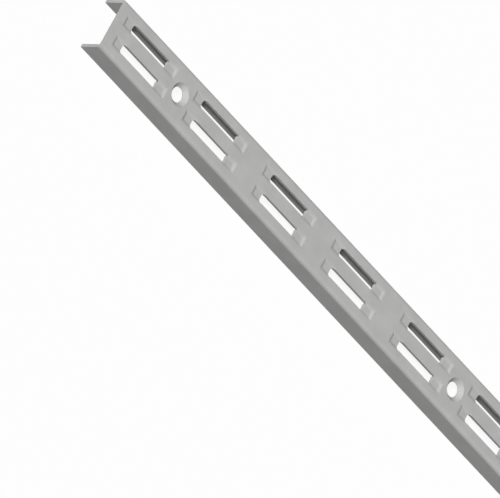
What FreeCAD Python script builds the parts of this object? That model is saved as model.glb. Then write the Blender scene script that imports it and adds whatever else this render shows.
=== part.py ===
import FreeCAD, Part
import Sketcher
import math
import os
from FreeCAD import Vector

# Twin slot shelf upright: one strip of sheet steel, roll-formed to a channel, pierced with
# pairs of slots for bracket hooks and fixed to a wall through countersunk screw holes.
# +X runs along the upright, +Y across it and +Z out through its front face, which lies
# uppermost. The edges of both flanges stand on Z = 0, with the origin midway between the ends.

document = FreeCAD.newDocument("twin_slot_upright")

# Driving dimensions, in millimetres and degrees
SIZES = [
    ("length", 495, "cut length of the upright"),
    ("web_width", 24, "outside width across both flanges"),
    ("depth", 11.8, "outside depth from the front face to the flange edges"),
    ("sheet", 1.5, "thickness of the steel strip"),
    ("inside_bend", 0.4, "inside radius of the two folds"),
    ("slot_pitch", 50, "from one pair of slots to the next"),
    ("first_pair", 22.5, "from the cut end to the middle of the first pair"),
    ("slot_lines", 10, "between the two lines of slots"),
    ("slot_length", 25, "length of a slot"),
    ("slot_width", 4.1, "width of a slot"),
    ("slot_corner", 1.2, "corner radius of a slot"),
    ("recess_beyond", 5.5, "how far a recess reaches past the end of its slot"),
    ("recess_overlap", 1.4, "how far a recess runs back beside the slot"),
    ("recess_width", 5.3, "width of a recess at its rim"),
    ("recess_depth", 0.65, "how deep a recess is pressed"),
    ("recess_wall", 1.3, "width of a recess's sloping wall, seen from the front"),
    ("recess_fold", 1.5, "radius of the soft folds at the top and foot of that wall"),
    ("pairs_per_hole", 4, "pairs of slots from one screw hole to the next"),
    ("screw_bore", 6.4, "diameter of a screw hole"),
    ("countersink_mouth", 10, "diameter of a countersink at the front face"),
    ("countersink_angle", 90, "angle of a countersink's cone"),
    ("collar_reach", 0.6, "how far a pressed countersink stands out behind the web"),
]

sizes = document.addObject("Spreadsheet::Sheet", "sizes")
for row, (alias, value, meaning) in enumerate(SIZES, start=1):
    sizes.set(f"A{row}", meaning)
    sizes.set(f"B{row}", str(value))
    sizes.setAlias(f"B{row}", alias)
document.recompute()

# Sizes and places that follow from the driving dimensions
PAIR_X = "sizes.first_pair - sizes.length / 2"
HOLE_X = "sizes.first_pair + sizes.slot_pitch / 2 - sizes.length / 2"
BACK_Z = "sizes.depth - sizes.sheet"
OUTSIDE_BEND = "(sizes.inside_bend + sizes.sheet)"
HOLE_PITCH = "sizes.pairs_per_hole * sizes.slot_pitch"
PAIRS = "floor((sizes.length - 2 * sizes.first_pair) / sizes.slot_pitch) + 1"
HOLES = f"floor(({PAIRS} - 2) / sizes.pairs_per_hole) + 1"
RECESS_LONG = "sizes.recess_overlap + sizes.recess_beyond"
RECESS_MIDDLE = "(sizes.slot_length + sizes.recess_beyond - sizes.recess_overlap) / 2"
RECESS_SLOPE = "atan(sizes.recess_depth / sizes.recess_wall)"
CONE_SLOPE = "(90 - sizes.countersink_angle / 2) * 1 deg"
# A pressed sheet keeps its thickness round a fold, so a pressing is wider behind than in front
RECESS_SPREAD = f"sizes.sheet * tan({RECESS_SLOPE} / 2)"
COLLAR_SPREAD = f"sizes.sheet * tan({CONE_SLOPE} / 2)"

body = document.addObject("PartDesign::Body", "upright")
body.Label = "upright"
POINTS = ("edge", "start", "end", "centre")
START, END, CENTRE = map(POINTS.index, POINTS[1:])
ORIGIN, ORIGIN_POINT = -1, START


def now(expression):
    """What an expression comes to with the present sizes."""
    value = sizes.evalExpression(expression)
    return float(getattr(value, "Value", value))


def origin(role):
    """One of the body's own origin planes or axes."""
    return next(item for item in body.Origin.OriginFeatures if item.Role == role)


def new_sketch(name, plane, x="0", z="0"):
    """A sketch on an origin plane, moved x along it and z off it."""
    sketch = body.newObject("Sketcher::SketchObject", name)
    sketch.AttachmentSupport = (origin(plane), [""])
    sketch.MapMode = "FlatFace"
    sketch.setExpression(".AttachmentOffset.Base.x", x)
    sketch.setExpression(".AttachmentOffset.Base.z", z)
    return sketch


def bind(sketch, name, expression, kind, *ends):
    """Add a dimension to a sketch and bind it to an expression."""
    dimension = Sketcher.Constraint(kind, *ends, now(expression))
    sketch.renameConstraint(sketch.addConstraint(dimension), name)
    sketch.setExpression(f"Constraints.{name}", expression)


def line(sketch, x0, y0, x1, y1):
    """A straight edge in a sketch."""
    return sketch.addGeometry(Part.LineSegment(Vector(x0, y0, 0), Vector(x1, y1, 0)))


def arc(sketch, x, y, radius, start):
    """A quarter turn in a sketch, anticlockwise from an angle in degrees."""
    circle = Part.Circle(Vector(x, y, 0), Vector(0, 0, 1), radius)
    first, last = math.radians(start), math.radians(start + 90)
    return sketch.addGeometry(Part.ArcOfCircle(circle, first, last))


def relate(sketch, kind, *pairs):
    """Add one relation of a kind to each pair of edges or edge ends."""
    for pair in pairs:
        sketch.addConstraint(Sketcher.Constraint(kind, *pair))


def rectangle(sketch, name, middle, across, corner=None):
    """A rectangle with expressions for its middle, its size and any corner radius."""
    (x, y), (wide, high) = map(now, middle), map(now, across)
    x0, x1, y0, y1 = x - wide / 2, x + wide / 2, y - high / 2, y + high / 2
    r = now(corner) if corner else 0
    bottom = line(sketch, x0 + r, y0, x1 - r, y0)
    right = line(sketch, x1, y0 + r, x1, y1 - r)
    top = line(sketch, x1 - r, y1, x0 + r, y1)
    left = line(sketch, x0, y1 - r, x0, y0 + r)
    sides = [bottom, right, top, left]
    turns = []
    if corner:
        turns.append(arc(sketch, x1 - r, y0 + r, r, 270))
        turns.append(arc(sketch, x1 - r, y1 - r, r, 0))
        turns.append(arc(sketch, x0 + r, y1 - r, r, 90))
        turns.append(arc(sketch, x0 + r, y0 + r, r, 180))
        relate(sketch, "Equal", *[(turns[0], other) for other in turns[1:]])
        bind(sketch, f"{name}_corner", corner, "Radius", turns[0])
    for place, side in enumerate(sides):
        following = sides[(place + 1) % len(sides)]
        if corner:
            turn = turns[place]
            relate(sketch, "Tangent", (side, END, turn, START), (turn, END, following, START))
        else:
            relate(sketch, "Coincident", (side, END, following, START))
    relate(sketch, "Horizontal", (bottom,), (top,))
    relate(sketch, "Vertical", (left,), (right,))
    bind(sketch, f"{name}_wide", across[0], "DistanceX", left, START, right, START)
    bind(sketch, f"{name}_high", across[1], "DistanceY", bottom, START, top, START)
    right_x = f"{middle[0]} + ({across[0]}) / 2"
    top_y = f"{middle[1]} + ({across[1]}) / 2"
    bind(sketch, f"{name}_x", right_x, "DistanceX", ORIGIN, ORIGIN_POINT, right, START)
    bind(sketch, f"{name}_y", top_y, "DistanceY", ORIGIN, ORIGIN_POINT, top, START)


def recess_rims(name, z, spread):
    """The rims of a pair's four recesses, each spread wider on every side."""
    sketch = new_sketch(name, "XY_Plane", PAIR_X, z)
    across = (f"{RECESS_LONG} + 2 * {spread}", f"sizes.recess_width + 2 * {spread}")
    for end, toward in (("near", "-1"), ("far", "1")):
        for side, beside in (("right", "-1"), ("left", "1")):
            middle = (f"{toward} * {RECESS_MIDDLE}", f"{beside} * sizes.slot_lines / 2")
            rectangle(sketch, f"{end}_{side}", middle, across)
    return sketch


def round_outline(name, z, diameter):
    """A circle round the first screw hole's axis."""
    sketch = new_sketch(name, "XY_Plane", HOLE_X, z)
    circle = Part.Circle(Vector(0, 0, 0), Vector(0, 0, 1), now(diameter) / 2)
    ring = sketch.addGeometry(circle)
    relate(sketch, "Coincident", (ring, CENTRE, ORIGIN, ORIGIN_POINT))
    bind(sketch, "diameter", diameter, "Diameter", ring)
    return sketch


def volume():
    """The volume of the body so far."""
    document.recompute()
    return body.Shape.Volume


def level_edges(feature, heights):
    """A feature's edges that lie level at one of the heights, away from the cut ends."""
    inward = now("sizes.length") / 2 - now("sizes.sheet")
    names = []
    for number, edge in enumerate(feature.Shape.Edges, start=1):
        points = [vertex.Point for vertex in edge.Vertexes]
        at_end = any(abs(point.x) > inward for point in points)
        for height in heights:
            if not at_end and all(abs(point.z - height) < 1e-6 for point in points):
                names.append(f"Edge{number}")
    return names


def repeat(name, originals, pitch, count):
    """Copies of features in a row along the upright."""
    pattern = body.newObject("PartDesign::LinearPattern", name)
    pattern.Originals = originals
    pattern.Direction = (origin("X_Axis"), [""])
    pattern.setExpression("Occurrences", count)
    pattern.setExpression("Length", f"({pitch}) * ({count} - 1)")
    body.Tip = pattern


# Channel: a flat web with a flange folded back along each side
profile = new_sketch("profile", "YZ_Plane")
side, top = now("sizes.web_width / 2"), now("sizes.depth")
wall, crease, fold = now("sizes.sheet"), now("sizes.inside_bend"), now(OUTSIDE_BEND)
left_wall = line(profile, -side, 0, -side, top - fold)
left_fold = arc(profile, fold - side, top - fold, fold, 90)
front = line(profile, fold - side, top, side - fold, top)
right_fold = arc(profile, side - fold, top - fold, fold, 0)
right_wall = line(profile, side, top - fold, side, 0)
right_edge = line(profile, side, 0, side - wall, 0)
right_inside = line(profile, side - wall, 0, side - wall, top - fold)
right_crease = arc(profile, side - fold, top - fold, crease, 0)
back = line(profile, side - fold, top - wall, fold - side, top - wall)
left_crease = arc(profile, fold - side, top - fold, crease, 90)
left_inside = line(profile, wall - side, top - fold, wall - side, 0)
left_edge = line(profile, wall - side, 0, -side, 0)
relate(
    profile,
    "Tangent",
    (left_wall, END, left_fold, END),
    (left_fold, START, front, START),
    (front, END, right_fold, END),
    (right_fold, START, right_wall, START),
    (right_inside, END, right_crease, START),
    (right_crease, END, back, START),
    (back, END, left_crease, START),
    (left_crease, END, left_inside, START),
)
relate(
    profile,
    "Coincident",
    (right_wall, END, right_edge, START),
    (right_edge, END, right_inside, START),
    (left_inside, END, left_edge, START),
    (left_edge, END, left_wall, START),
    (left_fold, CENTRE, left_crease, CENTRE),
    (right_fold, CENTRE, right_crease, CENTRE),
)
relate(profile, "Vertical", (left_wall,), (right_wall,), (left_inside,), (right_inside,))
relate(profile, "Horizontal", (front,))
relate(profile, "Equal", (right_edge, left_edge), (right_crease, left_crease))
relate(
    profile,
    "Symmetric",
    (left_wall, START, right_wall, END, ORIGIN, ORIGIN_POINT),
)
for edge in (right_wall, right_edge, left_inside):
    relate(profile, "PointOnObject", (edge, END, ORIGIN))
across_walls = (left_wall, START, right_wall, END)
bind(profile, "web_width", "sizes.web_width", "DistanceX", *across_walls)
bind(profile, "depth", "sizes.depth", "DistanceY", ORIGIN, ORIGIN_POINT, front, START)
bind(profile, "sheet", "sizes.sheet", "DistanceX", right_edge, END, right_edge, START)
bind(profile, "inside_bend", "sizes.inside_bend", "Radius", right_crease)

channel = body.newObject("PartDesign::Pad", "channel")
channel.Profile = profile
channel.SideType = "Symmetric"
channel.setExpression("Length", "sizes.length")
plain_volume = volume()

# Recess backs: the raised backs of the four recesses of a pair, with sloping walls
recess_backs = body.newObject("PartDesign::Pad", "recess_backs")
recess_backs.Profile = recess_rims("back_rims", BACK_Z, RECESS_SPREAD)
recess_backs.Reversed = True
recess_backs.setExpression("Length", "sizes.recess_depth")
recess_backs.setExpression("TaperAngle", f"{RECESS_SLOPE} - 90 deg")
raised_volume = volume()

# Recesses: a bracket's hooks are led into the slots by a pressed recess at each slot end
recesses = body.newObject("PartDesign::Pocket", "recesses")
recesses.Profile = recess_rims("front_rims", "sizes.depth", "0")
recesses.setExpression("Length", "sizes.recess_depth")
recesses.setExpression("TaperAngle", f"{RECESS_SLOPE} - 90 deg")
pressed_volume = volume()
sharp_faces = len(body.Shape.Faces)

# Soft folds: sheet metal bends round a radius along the top and the foot of each sloping wall
fold_heights = ["sizes.depth", "sizes.depth - sizes.recess_depth"]
fold_heights += [BACK_Z, f"{BACK_Z} - sizes.recess_depth"]
soft_folds = body.newObject("PartDesign::Fillet", "soft_folds")
soft_folds.Base = (recesses, level_edges(recesses, [now(height) for height in fold_heights]))
soft_folds.SupportTransform = True
soft_folds.setExpression("Radius", "sizes.recess_fold")
document.recompute()
soft_faces = len(body.Shape.Faces)

# Slots: a pair side by side, pierced through the web and through the recesses' inner ends
slot_outlines = new_sketch("slot_outlines", "XY_Plane", PAIR_X, "sizes.depth")
for name, beside in (("right", "-1"), ("left", "1")):
    rectangle(
        slot_outlines,
        name,
        ("0", f"{beside} * sizes.slot_lines / 2"),
        ("sizes.slot_length", "sizes.slot_width"),
        "sizes.slot_corner",
    )
slots = body.newObject("PartDesign::Pocket", "slots")
slots.Profile = slot_outlines
slots.setExpression("Length", "sizes.depth")
pierced_volume = volume()

repeat("slot_pairs", [recess_backs, recesses, soft_folds, slots], "sizes.slot_pitch", PAIRS)
slotted_volume = volume()

# Screw holes: the web is pressed back round each hole, so that a screw's head lies flush
collar = body.newObject("PartDesign::Pad", "collar")
collar.Profile = round_outline(
    "collar_outline", BACK_Z, f"sizes.countersink_mouth + 2 * {COLLAR_SPREAD}"
)
collar.Reversed = True
collar.setExpression("Length", "sizes.collar_reach")
collar.setExpression("TaperAngle", f"{CONE_SLOPE} - 90 deg")
collar_volume = volume()

screw_hole = body.newObject("PartDesign::Hole", "screw_hole")
screw_hole.Profile = round_outline("screw_outline", "sizes.depth", "sizes.screw_bore")
screw_hole.DepthType = "ThroughAll"
screw_hole.HoleCutType = "Countersink"
screw_hole.HoleCutCustomValues = True
screw_hole.setExpression("Diameter", "sizes.screw_bore")
screw_hole.setExpression("HoleCutDiameter", "sizes.countersink_mouth")
screw_hole.setExpression("HoleCutCountersinkAngle", "sizes.countersink_angle")
drilled_volume = volume()

repeat("screw_holes", [collar, screw_hole], HOLE_PITCH, HOLES)
finished_volume = volume()

# Each step adds or takes away metal as meant, and every feature is sound
steps = [
    ("recess backs add", raised_volume - plain_volume),
    ("recesses cut", raised_volume - pressed_volume),
    ("slots cut", pressed_volume - pierced_volume),
    ("further slots cut", pierced_volume - slotted_volume),
    ("collar adds", collar_volume - slotted_volume),
    ("screw hole cuts", collar_volume - drilled_volume),
    ("further holes cut", drilled_volume - finished_volume),
]
for step, change in steps:
    print(f"{step} {change:.2f} mm3")
    assert change > 0, step
print("soft folds", soft_faces - sharp_faces)
assert soft_faces > sharp_faces, soft_folds.Label
for item in document.Objects:
    assert not {"Invalid", "Error"} & set(item.State), f"{item.Label} failed"
shape = body.Shape
assert not shape.isNull() and shape.isValid() and len(shape.Solids) == 1, body.Label
box = shape.BoundBox
print(f"{now(PAIRS):.0f} pairs of slots, {now(HOLES):.0f} screw holes")
print(f"{box.XLength:.2f} x {box.YLength:.2f} x {box.ZLength:.2f} mm", shape.Volume)

os.makedirs("parts", exist_ok=True)
shape.exportStep(f"parts/{body.Label}.step")
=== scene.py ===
# %% [markdown]
# # Twin slot shelf upright
# The upright lies on its flange edges with its slotted front face up. Its solid model is loaded
# as a fixed frame, and its box gives the length, the width and the height of everything here.

# %% Load the frame
import math

import bmesh
import bpy
from mathutils import Matrix, Vector


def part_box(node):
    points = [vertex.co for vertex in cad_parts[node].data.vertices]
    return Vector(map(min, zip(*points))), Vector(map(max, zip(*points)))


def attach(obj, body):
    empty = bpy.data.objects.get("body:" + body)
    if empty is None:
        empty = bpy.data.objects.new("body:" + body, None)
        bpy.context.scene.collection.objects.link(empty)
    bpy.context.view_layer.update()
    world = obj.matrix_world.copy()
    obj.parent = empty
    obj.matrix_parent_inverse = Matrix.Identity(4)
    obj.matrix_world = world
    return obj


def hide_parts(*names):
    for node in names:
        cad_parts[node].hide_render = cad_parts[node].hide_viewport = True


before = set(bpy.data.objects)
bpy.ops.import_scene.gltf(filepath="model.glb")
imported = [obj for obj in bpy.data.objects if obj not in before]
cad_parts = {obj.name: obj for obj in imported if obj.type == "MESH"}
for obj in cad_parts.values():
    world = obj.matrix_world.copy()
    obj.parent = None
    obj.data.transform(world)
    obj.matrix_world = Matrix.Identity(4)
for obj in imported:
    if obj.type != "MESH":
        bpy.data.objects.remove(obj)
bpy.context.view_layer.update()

low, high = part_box("upright")
print("frame", [round(side, 4) for side in high - low])

# %% [markdown]
# ## Sizes
# The real upright starts as a strip of 1.5 mm steel. The rolls and presses that shape it leave
# few independent sizes, so each gets a name here and everything else follows from them.
# Blender works in metres, which is why each size is a number of millimetres times `MM`.

# %% Driving sizes
MM = 0.001
TOP = high.z
HALF_LENGTH = high.x
HALF_WIDTH = high.y
SHEET = 1.5 * MM
INSIDE_BEND = 0.4 * MM
SLOT_PITCH = 50 * MM
FIRST_PAIR = 22.5 * MM
SLOT_LINE = 5 * MM
SLOT_LENGTH = 25 * MM
SLOT_WIDTH = 4.1 * MM
SLOT_CORNER = 1.2 * MM
RECESS_BEYOND = 5.5 * MM
RECESS_OVERLAP = 1.4 * MM
RECESS_WIDTH = 5.3 * MM
RECESS_DEPTH = 0.65 * MM
RECESS_WALL = 1.3 * MM
RECESS_FOLD = 0.8 * MM
HOLE_PITCH = 200 * MM
SCREW_BORE = 6.4 * MM
COUNTERSINK_MOUTH = 10 * MM
COUNTERSINK_ANGLE = math.radians(90)
COLLAR_REACH = 0.6 * MM

OUTSIDE_BEND = INSIDE_BEND + SHEET
HALF_FLAT = HALF_WIDTH - OUTSIDE_BEND
PAIRS = round((2 * HALF_LENGTH - 2 * FIRST_PAIR) / SLOT_PITCH) + 1
NEAR = 0.001 * MM  # points closer than this count as one
print(PAIRS, "pairs of slots")

# %% [markdown]
# ## A quarter of one slot pair
# Each pair of slots is alike and symmetric both ways, so only a quarter of the web round one
# pair is modelled: half a slot and the recess at its end. One square face is stretched to the
# size of the quarter, and an inset of it, stretched again, becomes the rim of the recess.

# %% Helpers that pick and place parts of a mesh
def stretch(bm, verts, x0, x1, y0, y1):
    """Scale and move vertices so that they fill a rectangle, seen from above."""
    verts = list(verts)
    xs, ys = [v.co.x for v in verts], [v.co.y for v in verts]
    middle = Vector(((min(xs) + max(xs)) / 2, (min(ys) + max(ys)) / 2, 0))
    scale = Vector(((x1 - x0) / (max(xs) - min(xs)), (y1 - y0) / (max(ys) - min(ys)), 1))
    bmesh.ops.translate(bm, vec=-middle, verts=verts)
    bmesh.ops.scale(bm, vec=scale, verts=verts)
    bmesh.ops.translate(bm, vec=((x0 + x1) / 2, (y0 + y1) / 2, 0), verts=verts)


def once(parts):
    """Parts of a mesh without their repeats, in the order in which they first come."""
    return list(dict.fromkeys(parts))


def cut(bm, faces, point, normal):
    """Cut some faces along a plane."""
    geom = once(part for face in faces for part in (face, *face.edges, *face.verts))
    bmesh.ops.bisect_plane(bm, geom=geom, dist=NEAR / 10, plane_co=point, plane_no=normal)


def edges_on(bm, test):
    """The edges whose two ends both pass a test."""
    return [edge for edge in bm.edges if all(test(v.co) for v in edge.verts)]


# %% Make the quarter's face and the rim of its recess
RIM_NEAR = SLOT_LENGTH / 2 - RECESS_OVERLAP
RIM_FAR = SLOT_LENGTH / 2 + RECESS_BEYOND
RIM_LOW, RIM_HIGH = SLOT_LINE - RECESS_WIDTH / 2, SLOT_LINE + RECESS_WIDTH / 2
FOLD_ROOM = 0.65 * MM  # plain sheet beyond the rim, in which the rim's fold runs out
WEB_END = RIM_FAR + FOLD_ROOM

bm = bmesh.new()
bmesh.ops.create_grid(bm, x_segments=1, y_segments=1, size=1)
bmesh.ops.translate(bm, vec=(0, 0, TOP), verts=bm.verts)
stretch(bm, bm.verts, 0, WEB_END, 0, HALF_FLAT)
bm.faces.ensure_lookup_table()
rim = bm.faces[0]
# The inset's width doesn't matter, because the face inside it is then stretched to its place
bmesh.ops.inset_individual(bm, faces=[rim], thickness=MM, use_even_offset=True)
stretch(bm, rim.verts, RIM_NEAR, RIM_FAR, RIM_LOW, RIM_HIGH)
print(len(bm.faces), "faces, rim", [tuple(round(c / MM, 2) for c in v.co) for v in rim.verts])

# %% [markdown]
# ## The pressed recess
# A punch pushes the web down at each end of a slot, which leads a bracket's hook in. An inset
# that also moves its face down gives the floor and the four sloping walls, mitred at the
# corners. Sheet metal can't fold sharply, so the edges at the rim and round the floor are
# bevelled. Every fold has the same inside radius. Round the floor the front is the inside of
# the fold, and at the rim it is the outside, which is larger by the sheet's thickness.

# %% Press the recess and soften its folds
SLOPE = math.atan(RECESS_DEPTH / RECESS_WALL)
RIM_STEPS = 5
FLOOR_STEPS = 3


def fold(bm, edges, radius, segments):
    """Round a pressed fold: a bevel as wide as an arc of that radius needs."""
    bmesh.ops.bevel(
        bm,
        geom=edges,
        offset=radius * math.tan(SLOPE / 2),
        offset_type="OFFSET",
        affect="EDGES",
        segments=segments,
        profile=0.5,
        material=-1,
        loop_slide=False,
        clamp_overlap=False,
    )


bmesh.ops.inset_individual(
    bm, faces=[rim], thickness=RECESS_WALL, depth=-RECESS_DEPTH, use_even_offset=True
)
floor_edges = list(rim.edges)
rim_edges = edges_on(
    bm,
    lambda p: RIM_NEAR - NEAR < p.x < RIM_FAR + NEAR
    and RIM_LOW - NEAR < p.y < RIM_HIGH + NEAR
    and p.z > TOP - NEAR,
)
print(len(rim_edges), "rim edges,", len(floor_edges), "floor edges")
fold(bm, rim_edges, RECESS_FOLD + SHEET, RIM_STEPS)
fold(bm, floor_edges, RECESS_FOLD, FLOOR_STEPS)
print(len(bm.faces), "faces with the folds")

# %% [markdown]
# ## The punched slot
# The slot's outline is convex, so it is the region inside a set of straight lines: its sides,
# its end, and a few chords round each corner. The mesh is cut along each of these planes and
# the faces inside them all are removed, which is what the punch does to the sheet.

# %% Punch half a slot through the web and the recess's inner end
CORNER_STEPS = 6
slot_low, slot_high = SLOT_LINE - SLOT_WIDTH / 2, SLOT_LINE + SLOT_WIDTH / 2
sides = [
    (Vector((SLOT_LENGTH / 2, 0, 0)), Vector((1, 0, 0))),
    (Vector((0, slot_low, 0)), Vector((0, -1, 0))),
    (Vector((0, slot_high, 0)), Vector((0, 1, 0))),
]
chords = []
for way, y in ((-1, slot_low + SLOT_CORNER), (1, slot_high - SLOT_CORNER)):
    middle = Vector((SLOT_LENGTH / 2 - SLOT_CORNER, y, 0))
    for step in range(CORNER_STEPS):
        angle = (step + 0.5) / CORNER_STEPS * math.pi / 2
        outward = Vector((math.cos(angle), way * math.sin(angle), 0))
        reach = SLOT_CORNER * math.cos(math.pi / 4 / CORNER_STEPS)
        chords.append((middle + outward * reach, outward))


def inside(face, planes):
    """Whether a face's middle lies on the inner side of every plane."""
    middle = face.calc_center_median()
    return all((middle - point).dot(normal) < 0 for point, normal in planes)


for point, normal in sides:
    cut(bm, [f for f in bm.faces if f.calc_center_median().x < WEB_END], point, normal)
for point, normal in chords:
    cut(bm, [f for f in bm.faces if inside(f, sides)], point, normal)
punched = [face for face in bm.faces if inside(face, sides + chords)]
bmesh.ops.delete(bm, geom=punched, context="FACES")
print(len(punched), "faces punched out,", len(bm.faces), "left")

# %% [markdown]
# ## From the quarter to the whole web
# A plain band is extruded as far as the middle of the gap between two pairs. The quarter is
# mirrored twice into one pair's piece of web, which is copied along the upright and welded,
# and both ends are cut square at the real length.

# %% Mirror the quarter, repeat it and cut the ends
HOLE_SQUARE = SLOT_PITCH / 2 - WEB_END
end_edges = edges_on(bm, lambda p: p.x > WEB_END - NEAR)
band = bmesh.ops.extrude_edge_only(bm, edges=end_edges)["geom"]
band_verts = [item for item in band if isinstance(item, bmesh.types.BMVert)]
bmesh.ops.translate(bm, vec=(HOLE_SQUARE, 0, 0), verts=band_verts)
band_faces = [face for face in bm.faces if face.calc_center_median().x > WEB_END]
cut(bm, band_faces, (0, HOLE_SQUARE, 0), (0, 1, 0))
for axis in "XY":
    whole = bm.verts[:] + bm.edges[:] + bm.faces[:]
    bmesh.ops.mirror(bm, geom=whole, matrix=Matrix(), merge_dist=NEAR, axis=axis)
print(len(bm.faces), "faces round one pair")

cell = bm.verts[:] + bm.edges[:] + bm.faces[:]
for number in range(1, PAIRS):
    copied = bmesh.ops.duplicate(bm, geom=cell)["geom"]
    copied_verts = [item for item in copied if isinstance(item, bmesh.types.BMVert)]
    bmesh.ops.translate(bm, vec=(number * SLOT_PITCH, 0, 0), verts=copied_verts)
bmesh.ops.remove_doubles(bm, verts=bm.verts, dist=NEAR)
bmesh.ops.translate(bm, vec=(FIRST_PAIR - HALF_LENGTH, 0, 0), verts=bm.verts)
for way in (-1, 1):
    bmesh.ops.bisect_plane(
        bm,
        geom=bm.verts[:] + bm.edges[:] + bm.faces[:],
        dist=NEAR / 10,
        plane_co=(way * HALF_LENGTH, 0, 0),
        plane_no=(way, 0, 0),
        clear_outer=True,
    )
print(len(bm.faces), "faces in the web")

# %% [markdown]
# ## Countersunk screw holes
# Between some pairs the web is pressed back into a 90 degree cone, so that a screw's head lies
# flush. The plain band there is opened to a square, a ring of points is bridged to the square's
# border, and the ring is extruded down the cone in two steps to the bore.

# %% Open the web and bridge in the cones
RING_STEPS = 64
CONE_STEPS = 2
CONE_WIDTH = (COUNTERSINK_MOUTH - SCREW_BORE) / 2
CONE_DEPTH = CONE_WIDTH / math.tan(COUNTERSINK_ANGLE / 2)
HOLE_PLACES = [number * HOLE_PITCH for number in (-1, 0, 1)]


def near_hole(p, x, reach):
    """Whether a point lies within a square round a hole."""
    return max(abs(p.x - x), abs(p.y)) < reach


for x in HOLE_PLACES:
    opened = [f for f in bm.faces if near_hole(f.calc_center_median(), x, HOLE_SQUARE)]
    bmesh.ops.delete(bm, geom=opened, context="FACES")
    around = edges_on(bm, lambda p: near_hole(p, x, HOLE_SQUARE + NEAR))
    border = [edge for edge in around if edge.is_boundary]
    ring = bmesh.ops.create_circle(
        bm,
        segments=RING_STEPS,
        radius=COUNTERSINK_MOUTH / 2,
        matrix=Matrix.Translation((x, 0, TOP)),
    )["verts"]
    mouth = once(edge for vert in ring for edge in vert.link_edges)
    bmesh.ops.bridge_loops(bm, edges=border + mouth)
    radius = COUNTERSINK_MOUTH / 2
    for _ in range(CONE_STEPS):
        lower = bmesh.ops.extrude_edge_only(bm, edges=mouth)["geom"]
        verts = [item for item in lower if isinstance(item, bmesh.types.BMVert)]
        mouth = [item for item in lower if isinstance(item, bmesh.types.BMEdge)]
        smaller = radius - CONE_WIDTH / CONE_STEPS
        ratio = smaller / radius
        about = Matrix.Translation((-x, 0, 0))
        bmesh.ops.scale(bm, vec=(ratio, ratio, 1), space=about, verts=verts)
        bmesh.ops.translate(bm, vec=(0, 0, -CONE_DEPTH / CONE_STEPS), verts=verts)
        radius = smaller
    print("hole at", round(x / MM), "border", len(border), "edges, bore radius", radius / MM)

# %% [markdown]
# ## Folds and flanges
# The strip's two side borders are spun a quarter turn round the axis of each fold, as the rolls
# bend the strip, and extruded straight down to the flange edges.

# %% Spin the folds and extrude the flanges
FOLD_STEPS = 8
for way in (-1, 1):
    side = edges_on(bm, lambda p: way * p.y > HALF_FLAT - NEAR)
    ends = once(vert for edge in side for vert in edge.verts)
    spun = bmesh.ops.spin(
        bm,
        geom=side + ends,
        cent=(0, way * HALF_FLAT, TOP - OUTSIDE_BEND),
        axis=(1, 0, 0),
        dvec=(0, 0, 0),
        angle=-way * math.pi / 2,
        steps=FOLD_STEPS,
    )["geom_last"]
    foot = [item for item in spun if isinstance(item, bmesh.types.BMEdge)]
    flange = bmesh.ops.extrude_edge_only(bm, edges=foot)["geom"]
    verts = [item for item in flange if isinstance(item, bmesh.types.BMVert)]
    bmesh.ops.translate(bm, vec=(0, 0, OUTSIDE_BEND - TOP), verts=verts)
    print("fold", way, "from", len(side), "edges, flange foot", len(foot), "edges")
bmesh.ops.recalc_face_normals(bm, faces=bm.faces)
web_face = max(bm.faces, key=lambda face: face.calc_area() * abs(face.normal.z))
if web_face.normal.z < 0:
    bmesh.ops.reverse_faces(bm, faces=bm.faces)

# %% [markdown]
# ## Thickness
# Solidify gives the skin its 1.5 mm wall inwards, even round every fold.

# %% Give the skin its wall
bmesh.ops.solidify(bm, geom=bm.faces[:], thickness=SHEET)
open_edges = [edge for edge in bm.edges if not edge.is_manifold]
print(len(bm.faces), "faces,", len(open_edges), "open edges")

# %% [markdown]
# ## The back of the countersinks
# A press squeezes the cone thinner than the sheet, so behind each hole there stands only a low
# flat collar. The two lower rings of each cone's back are scaled and moved to the collar's edge
# and to the bore.

# %% Flatten the collars behind the holes
COLLAR_Z = TOP - SHEET - COLLAR_REACH
CONE_SLOPE = math.pi / 2 - COUNTERSINK_ANGLE / 2
CONE_SPREAD = SHEET * math.tan(CONE_SLOPE / 2)
COLLAR_RADIUS = COUNTERSINK_MOUTH / 2 + CONE_SPREAD - COLLAR_REACH / math.tan(CONE_SLOPE)
for x in HOLE_PLACES:
    around = [vert for vert in bm.verts if near_hole(vert.co, x, HOLE_SQUARE)]
    lowest = sorted(around, key=lambda vert: vert.co.z)
    bore_ring = lowest[:RING_STEPS]
    collar_ring = lowest[RING_STEPS : 2 * RING_STEPS]
    for verts, radius in ((bore_ring, SCREW_BORE / 2), (collar_ring, COLLAR_RADIUS)):
        present = (verts[0].co.xy - Vector((x, 0))).length
        about = Matrix.Translation((-x, 0, 0))
        ratio = radius / present
        print("back ring", round(present / MM, 2), "to", round(radius / MM, 2))
        bmesh.ops.scale(bm, vec=(ratio, ratio, 1), space=about, verts=verts)
        bmesh.ops.translate(bm, vec=(0, 0, COLLAR_Z - verts[0].co.z), verts=verts)

# %% [markdown]
# ## Broken edges
# The saw and the slitting shears leave crisp edges, but powder flows round them as it melts, so
# that the finished ends and flange edges are slightly round. A small bevel of two segments does
# that. The slots' rims keep their shear's sharpness: there the coat is thinner than a pixel.

# %% Round the cut ends and the flange edges
EDGE_BREAK = 0.08 * MM
CRISP_ABOVE = math.radians(80)


def at_end_or_foot(p):
    """Whether a point lies on a cut end or on a flange edge."""
    return abs(p.x) > HALF_LENGTH - NEAR or p.z < NEAR


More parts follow.
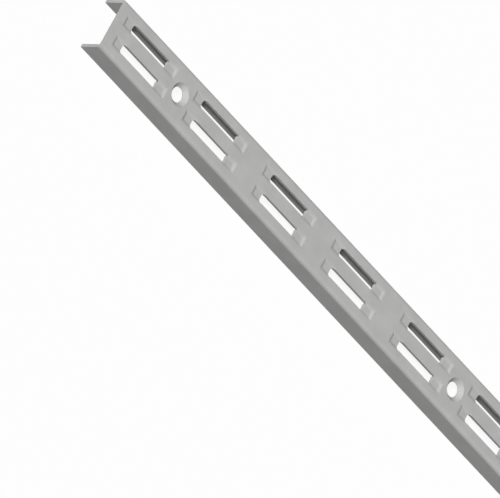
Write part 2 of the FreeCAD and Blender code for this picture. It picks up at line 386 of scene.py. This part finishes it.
crisp = [edge for edge in edges_on(bm, at_end_or_foot) if edge.calc_face_angle() > CRISP_ABOVE]
bmesh.ops.bevel(
    bm,
    geom=crisp,
    offset=EDGE_BREAK,
    offset_type="OFFSET",
    affect="EDGES",
    segments=2,
    profile=0.5,
    material=-1,
    loop_slide=False,
    clamp_overlap=False,
)
open_edges = [edge for edge in bm.edges if not edge.is_manifold]
print(len(crisp), "edges rounded,", len(open_edges), "open edges")

# %% [markdown]
# ## Smooth shading
# Faces that meet at less than 35 degrees are shaded as one curved surface, and the others keep
# their edge. The long flat faces must stay flat next to the narrow fold faces, so a Weighted
# Normal modifier lets the large faces decide the normals that they share.

# %% Make the mesh an object that stands for the CAD node
SMOOTH_BELOW = math.radians(35)

mesh = bpy.data.meshes.new("slotted_upright")
bm.to_mesh(mesh)
bm.free()
mesh.shade_smooth()
mesh.set_sharp_from_angle(angle=SMOOTH_BELOW)
upright = bpy.data.objects.new("slotted_upright", mesh)
bpy.context.scene.collection.objects.link(upright)
weighting = upright.modifiers.new("flat_faces_stay_flat", "WEIGHTED_NORMAL")
weighting.keep_sharp = True
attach(upright, "root")
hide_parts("upright")
print(len(mesh.polygons), "faces in the upright")

# %% [markdown]
# ## Powder-coated steel
# The steel is sprayed with light grey polyester powder, which melts in an oven to a film about
# 0.08 mm thick. To the eye that is one even matt grey with no clear reflections. Seen close, it
# has three faint marks of its making: a shallow orange peel where the melt levelled out, a finer
# grain of half-melted powder, and clouds of a slightly different grey where the film is thicker.
# Each is a noise pattern in Object coordinates, so its size is a real one in millimetres. The
# first two are relief, which Bump nodes turn into tilted normals, and the third is colour.
# Real orange peel is a few thousandths of a millimetre high and real grain a tenth of a
# millimetre wide, too fine to show from here, so one is drawn higher and the other coarser.

# %% Colours and nodes
def linear(code):
    """An sRGB hex colour as a linear one with alpha."""
    parts = [int(code[place : place + 2], 16) / 255 for place in (1, 3, 5)]
    return [c / 12.92 if c <= 0.04045 else ((c + 0.055) / 1.055) ** 2.4 for c in parts] + [1]


def add(tree, kind, settings=None, **links):
    """Add a node with its settings, and link or set its inputs."""
    node = tree.nodes.new(kind)
    for name, value in (settings or {}).items():
        setattr(node, name, value)
    for name, value in links.items():
        socket = node.inputs[name.replace("_", " ")]
        if isinstance(value, bpy.types.NodeSocket):
            tree.links.new(value, socket)
        else:
            socket.default_value = value
    return node


# %% Make the coating's relief: orange peel and grain
PEEL_WAVE, PEEL_HEIGHT = 1.4 * MM, 0.02 * MM
GRAIN_WAVE, GRAIN_HEIGHT = 0.4 * MM, 0.006 * MM

coating = bpy.data.materials.new("matt_grey_powder_coat")
coating.use_nodes = True
tree = coating.node_tree
tree.nodes.clear()
place = add(tree, "ShaderNodeTexCoord").outputs["Object"]
peel = add(tree, "ShaderNodeTexNoise", Vector=place, Scale=1 / PEEL_WAVE, Detail=0.0)
grain = add(tree, "ShaderNodeTexNoise", Vector=place, Scale=1 / GRAIN_WAVE, Detail=1.0)
waves = add(tree, "ShaderNodeBump", Height=peel.outputs["Fac"], Distance=PEEL_HEIGHT)
relief = add(
    tree,
    "ShaderNodeBump",
    Height=grain.outputs["Fac"],
    Distance=GRAIN_HEIGHT,
    Normal=waves.outputs["Normal"],
)

# %% [markdown]
# ## The coating's colour and gloss
# A colour ramp turns the clouds into two close greys. Polyester isn't a metal, so Metallic is
# nought, and its IOR is about 1.5. Light that reflects from a matt powder is spread widely:
# roughness 0.6 to 0.9 is typical. An IOR of 1.4 and a roughness of 0.8 were then matched, for the
# sides in shade to stay as dark as they are on the real one. The grain also makes the gloss
# a little uneven.

# %% Make its colour and its gloss, both a little uneven
CLOUD_WAVE = 9 * MM
THIN_BELOW, THICK_ABOVE = 0.3, 0.7  # the noise's values where each grey is reached
DULLEST, GLOSSIEST = 0.86, 0.74

cloud = add(tree, "ShaderNodeTexNoise", Vector=place, Scale=1 / CLOUD_WAVE, Detail=3.0)
tone = add(tree, "ShaderNodeValToRGB", Fac=cloud.outputs["Fac"])
thin, thick = tone.color_ramp.elements
thin.position, thin.color = THIN_BELOW, linear("#B7B7B6")
thick.position, thick.color = THICK_ABOVE, linear("#BFBFBE")
dull = add(
    tree, "ShaderNodeMapRange", Value=grain.outputs["Fac"], To_Min=GLOSSIEST, To_Max=DULLEST
)
shader = add(
    tree,
    "ShaderNodeBsdfPrincipled",
    Base_Color=tone.outputs["Color"],
    Metallic=0.0,
    Roughness=dull.outputs["Result"],
    IOR=1.4,
    Normal=relief.outputs["Normal"],
)
add(tree, "ShaderNodeOutputMaterial", Surface=shader.outputs["BSDF"])
mesh.materials.append(coating)
print("coating of", len(tree.nodes), "nodes")

# %% [markdown]
# ## Paper floor
# The upright lies on white paper. A white floor would light the flanges from below far more than
# their real grey shows, so its material asks Light Path what kind of ray has arrived. The camera
# and glossy rays see glowing white paper that a shadow still dims a little, and all other rays
# meet a faint glow.

# %% Ask what kind of ray has arrived
WHITE = linear("#FFFFFF")


def seen_ray(tree):
    """One for camera, glossy and transmission rays, and nought for the rest."""
    path = add(tree, "ShaderNodeLightPath").outputs
    seen = path["Is Camera Ray"]
    for name in ("Is Glossy Ray", "Is Transmission Ray"):
        either = add(tree, "ShaderNodeMath", {"operation": "MAXIMUM"})
        tree.links.new(seen, either.inputs[0])
        tree.links.new(path[name], either.inputs[1])
        seen = either.outputs[0]
    return seen


# %% Make the paper and lay it under the upright
PAPER_GLOW = 0.92  # white, less what the lamps add
PAPER_CATCH = 0.08  # share of the lamps' light that it shows, and loses in a shadow
PAPER_BOUNCE = 0.12  # what it throws on the upright
FLOOR_HALF = 10  # metres

paper = bpy.data.materials.new("white_paper")
paper.use_nodes = True
tree = paper.node_tree
tree.nodes.clear()
unseen = add(tree, "ShaderNodeEmission", Color=WHITE, Strength=PAPER_BOUNCE)
lit = add(tree, "ShaderNodeBsdfDiffuse", Color=(PAPER_CATCH, PAPER_CATCH, PAPER_CATCH, 1))
glow = add(tree, "ShaderNodeEmission", Color=WHITE, Strength=PAPER_GLOW)
both = add(tree, "ShaderNodeAddShader")
tree.links.new(lit.outputs[0], both.inputs[0])
tree.links.new(glow.outputs[0], both.inputs[1])
mixed = add(tree, "ShaderNodeMixShader", Fac=seen_ray(tree))
tree.links.new(unseen.outputs[0], mixed.inputs[1])
tree.links.new(both.outputs[0], mixed.inputs[2])
add(tree, "ShaderNodeOutputMaterial", Surface=mixed.outputs[0])
floor_mesh = bpy.data.meshes.new("floor")
floor_bm = bmesh.new()
bmesh.ops.create_grid(floor_bm, x_segments=1, y_segments=1, size=FLOOR_HALF)
floor_bm.to_mesh(floor_mesh)
floor_bm.free()
floor_mesh.materials.append(paper)
floor = bpy.data.objects.new("floor", floor_mesh)
bpy.context.scene.collection.objects.link(floor)
print("floor", 2 * FLOOR_HALF, "m across")

# %% [markdown]
# ## World
# The same question keeps the world white behind the floor, while it lights the upright only
# faintly, so that the lamps decide what is light and what is dark.

# %% World
FILL = 0.08  # share of white that lights the upright

world = bpy.data.worlds.new("studio")
bpy.context.scene.world = world
world.use_nodes = True
tree = world.node_tree
tree.nodes.clear()
unseen = add(tree, "ShaderNodeBackground", Color=WHITE, Strength=FILL)
white = add(tree, "ShaderNodeBackground", Color=WHITE, Strength=1.0)
mixed = add(tree, "ShaderNodeMixShader", Fac=seen_ray(tree))
tree.links.new(unseen.outputs[0], mixed.inputs[1])
tree.links.new(white.outputs[0], mixed.inputs[2])
add(tree, "ShaderNodeOutputWorld", Surface=mixed.outputs[0])
print("world gives", FILL, "of white")

# %% [markdown]
# ## Studio lamps
# The main lamp stands high beyond the near cut end, and a little to the side of the flange that
# the photo shows, so that the recesses' walls that face it are light and those turned away dark.
# A weaker one stands on the other side, almost level with the upright. It lights the flange
# there, and its rays pass over the recesses, where they would wash out the dark walls. Both are
# suns, whose rays are parallel, and the angle of the main one softens shadows as a large studio
# box would.

# %% Lamps
KEY = (-0.67, -0.28, 0.69)  # towards the lamp
KEY_STRENGTH = 3.42
KEY_SPREAD = 10  # degrees
BACK = (0.3, 0.95, 0.02)
BACK_STRENGTH = 0.4
BACK_SPREAD = 1


def lamp(name, toward, strength, spread):
    """A sun lamp that shines from a direction, spread over some degrees."""
    data = bpy.data.lights.new(name, "SUN")
    data.energy = strength
    data.angle = math.radians(spread)
    item = bpy.data.objects.new(name, data)
    item.rotation_euler = Vector(toward).to_track_quat("Z", "Y").to_euler()
    bpy.context.scene.collection.objects.link(item)
    print(name, "lamp of strength", strength)


lamp("key", KEY, KEY_STRENGTH, KEY_SPREAD)
lamp("low_back", BACK, BACK_STRENGTH, BACK_SPREAD)

# %% [markdown]
# ## Camera
# The photo shows hardly any perspective, so a long lens stands far away. The target is the point
# that shows in the middle of the frame, and the lens is as long as the frame's width there asks.
# The camera's own axes are the columns of its rotation: right, up and back. They were fitted so
# that the slots and holes of the upright show where they do in the photo.

# %% Camera
ACROSS = 203.51 * MM
DISTANCE = 9.5
TARGET = Vector((-129.65, -25.45, 11.67)) * MM
right = Vector((0.5634, 0.4413, 0.6985))
back = Vector((-0.5661, -0.4096, 0.7154)).normalized()
right = (right - back * right.dot(back)).normalized()
up = back.cross(right)
camera_data = bpy.data.cameras.new("camera")
camera_data.lens = camera_data.sensor_width * DISTANCE / ACROSS
camera_data.clip_end = 5 * DISTANCE
camera = bpy.data.objects.new("camera", camera_data)
turn = Matrix((right, up, back)).transposed().to_4x4()
camera.matrix_world = Matrix.Translation(TARGET + back * DISTANCE) @ turn
bpy.context.scene.collection.objects.link(camera)
bpy.context.scene.camera = camera
bpy.context.scene.view_settings.view_transform = "Standard"
print("lens of", round(camera_data.lens), "mm")
